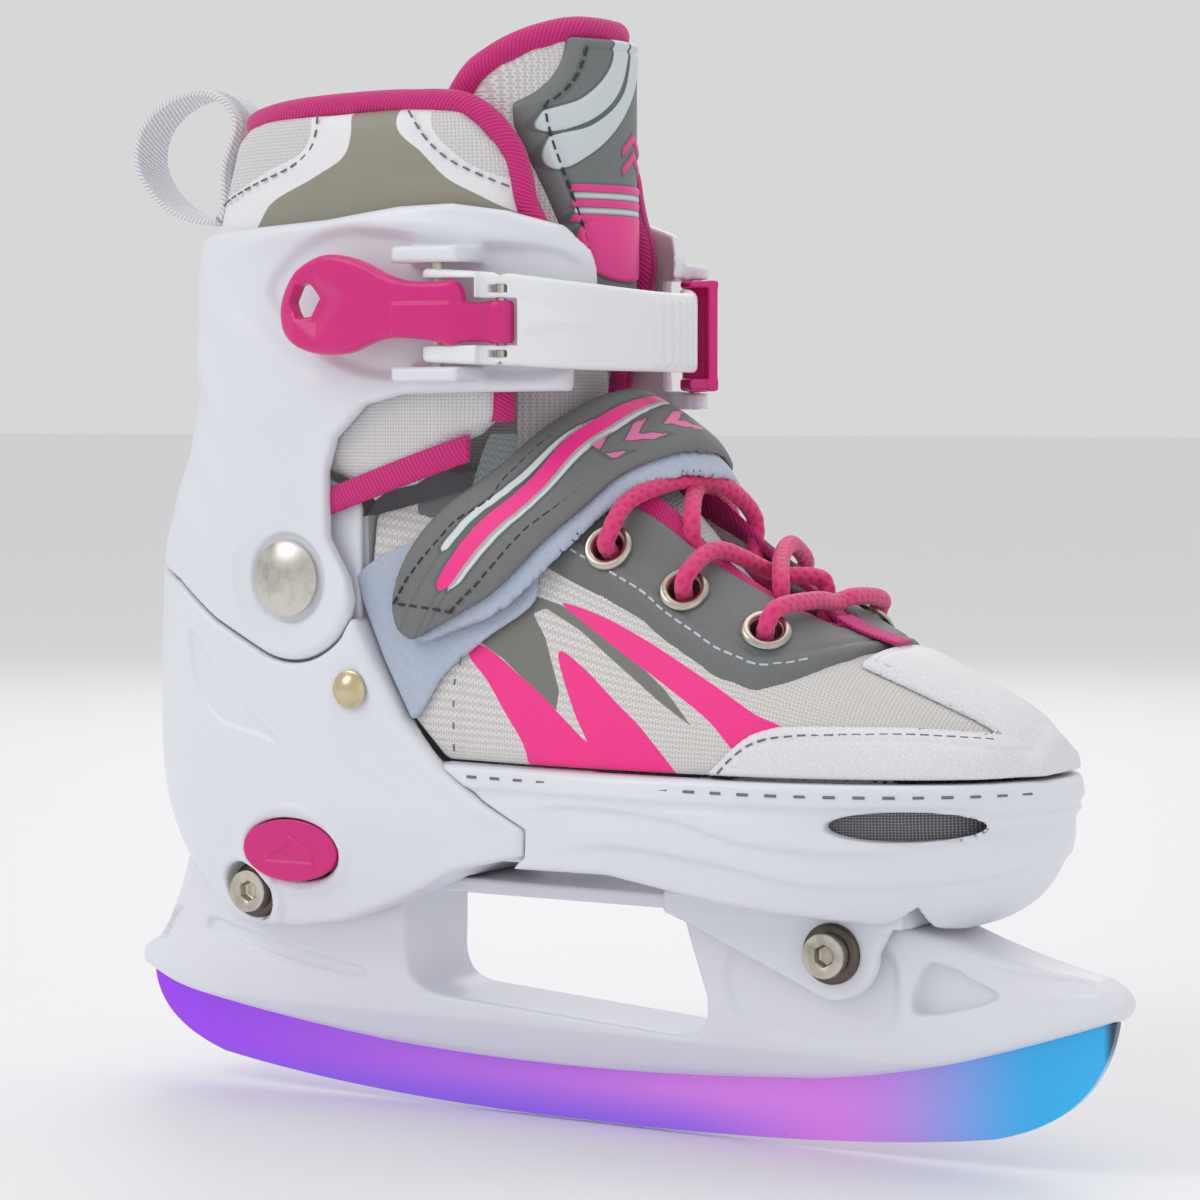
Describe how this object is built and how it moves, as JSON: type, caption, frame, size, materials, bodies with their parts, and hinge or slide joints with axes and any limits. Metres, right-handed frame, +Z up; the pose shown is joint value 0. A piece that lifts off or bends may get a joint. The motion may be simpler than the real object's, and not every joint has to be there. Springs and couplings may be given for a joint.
{
  "type": "ice skate",
  "caption": "Size-adjustable child's ice skate for the right foot: steel blade in a moulded holder, telescoping shell, hinged ankle cuff, over-centre buckle gate, laced padded boot.",
  "frame": {"origin": "middle of the blade's flat running edge, on the blade's mid-plane", "axes": "+X toward the toe, +Y toward the inner side of the foot, +Z up; the buckle lever is on the -Y side"},
  "size_m": [0.2749, 0.0972, 0.2675],
  "materials": {
    "white_plastic": "satin, faintly cool white moulded nylon",
    "pink_plastic": "satin deep pink",
    "blade_steel": "iridescent violet to cyan coating, polished",
    "steel": "satin nickel",
    "dark_steel": "bronzed steel",
    "white_fabric": "woven mesh over foam",
    "grey_leather": "smooth coated synthetic leather, stitched",
    "white_leather": "smooth coated synthetic leather",
    "pink_cord": "braided round cord",
    "grey_mesh": "open vent mesh"
  },
  "bodies": {
    "chassis": {"blade": "blade_steel", "blade_holder": "white_plastic", "chassis_deck": "white_plastic", "front_frame_washer": "dark_steel", "front_frame_bolt": "steel", "front_frame_sleeve_nut": "dark_steel", "rear_frame_washer": "dark_steel", "rear_frame_bolt": "steel", "rear_frame_sleeve_nut": "dark_steel", "heel_shell": "white_plastic", "ankle_rivet_lateral": "steel", "ankle_rivet_medial": "steel", "stay_rivet_lateral": "steel", "stay_rivet_medial": "steel", "soft_boot_heel": "grey_leather"},
    "toe_section": {"toe_shell": "white_plastic", "vent_mesh_lateral": "grey_mesh", "vent_mesh_medial": "grey_mesh", "soft_boot_vamp": "white_fabric", "eyestay": "grey_leather", "toe_cap": "white_leather", "instep_strap": "grey_leather", "tongue_lower": "white_fabric", "lace": "pink_cord", "eyelet_lateral_1": "dark_steel", "eyelet_lateral_2": "dark_steel", "eyelet_lateral_3": "dark_steel", "eyelet_medial_1": "dark_steel", "eyelet_medial_2": "dark_steel", "eyelet_medial_3": "dark_steel"},
    "cuff": {"cuff_shell": "white_plastic", "collar": "grey_leather", "tongue_upper": "grey_leather", "pull_loop": "white_fabric", "gate_pin": "steel", "catch_pin": "steel"},
    "gate": {"buckle_gate": "white_plastic", "lever_pin": "steel"},
    "lever": {"buckle_lever": "pink_plastic"},
    "catch": {"gate_catch": "pink_plastic"},
    "button": {"push_button": "pink_plastic"}
  },
  "joints": [
    {"name": "toe_extension", "type": "slide", "parent": "chassis", "child": "toe_section", "axis": [1, 0, 0], "range_m": [0, 0.02]},
    {"name": "cuff_lean", "type": "hinge", "parent": "chassis", "child": "cuff", "pos_m": [-0.066, 0, 0.133], "axis": [0, 1, 0], "range_deg": [0, 4]},
    {"name": "lever_throw", "type": "hinge", "parent": "gate", "child": "lever", "pos_m": [-0.0025, -0.0415, 0.195], "axis": [0, 0, 1], "range_deg": [0, 110]},
    {"name": "gate_swing", "type": "hinge", "parent": "cuff", "child": "gate", "pos_m": [-0.0185, -0.044, 0.196], "axis": [0, 0, -1], "range_deg": [0, 66]},
    {"name": "catch_release", "type": "hinge", "parent": "cuff", "child": "catch", "pos_m": [0.0095, 0.0305, 0.192], "axis": [0, 0, 1], "range_deg": [0, 40], "stiffness_Nm_per_rad": 0.02},
    {"name": "button_press", "type": "slide", "parent": "chassis", "child": "button", "axis": [0, 1, 0], "range_m": [0, 0.003], "stiffness_N_per_m": 600}
  ],
  "couplings": [
    {"joint": "gate_swing", "follows": "lever_throw", "ratio": 0.6}
  ]
}
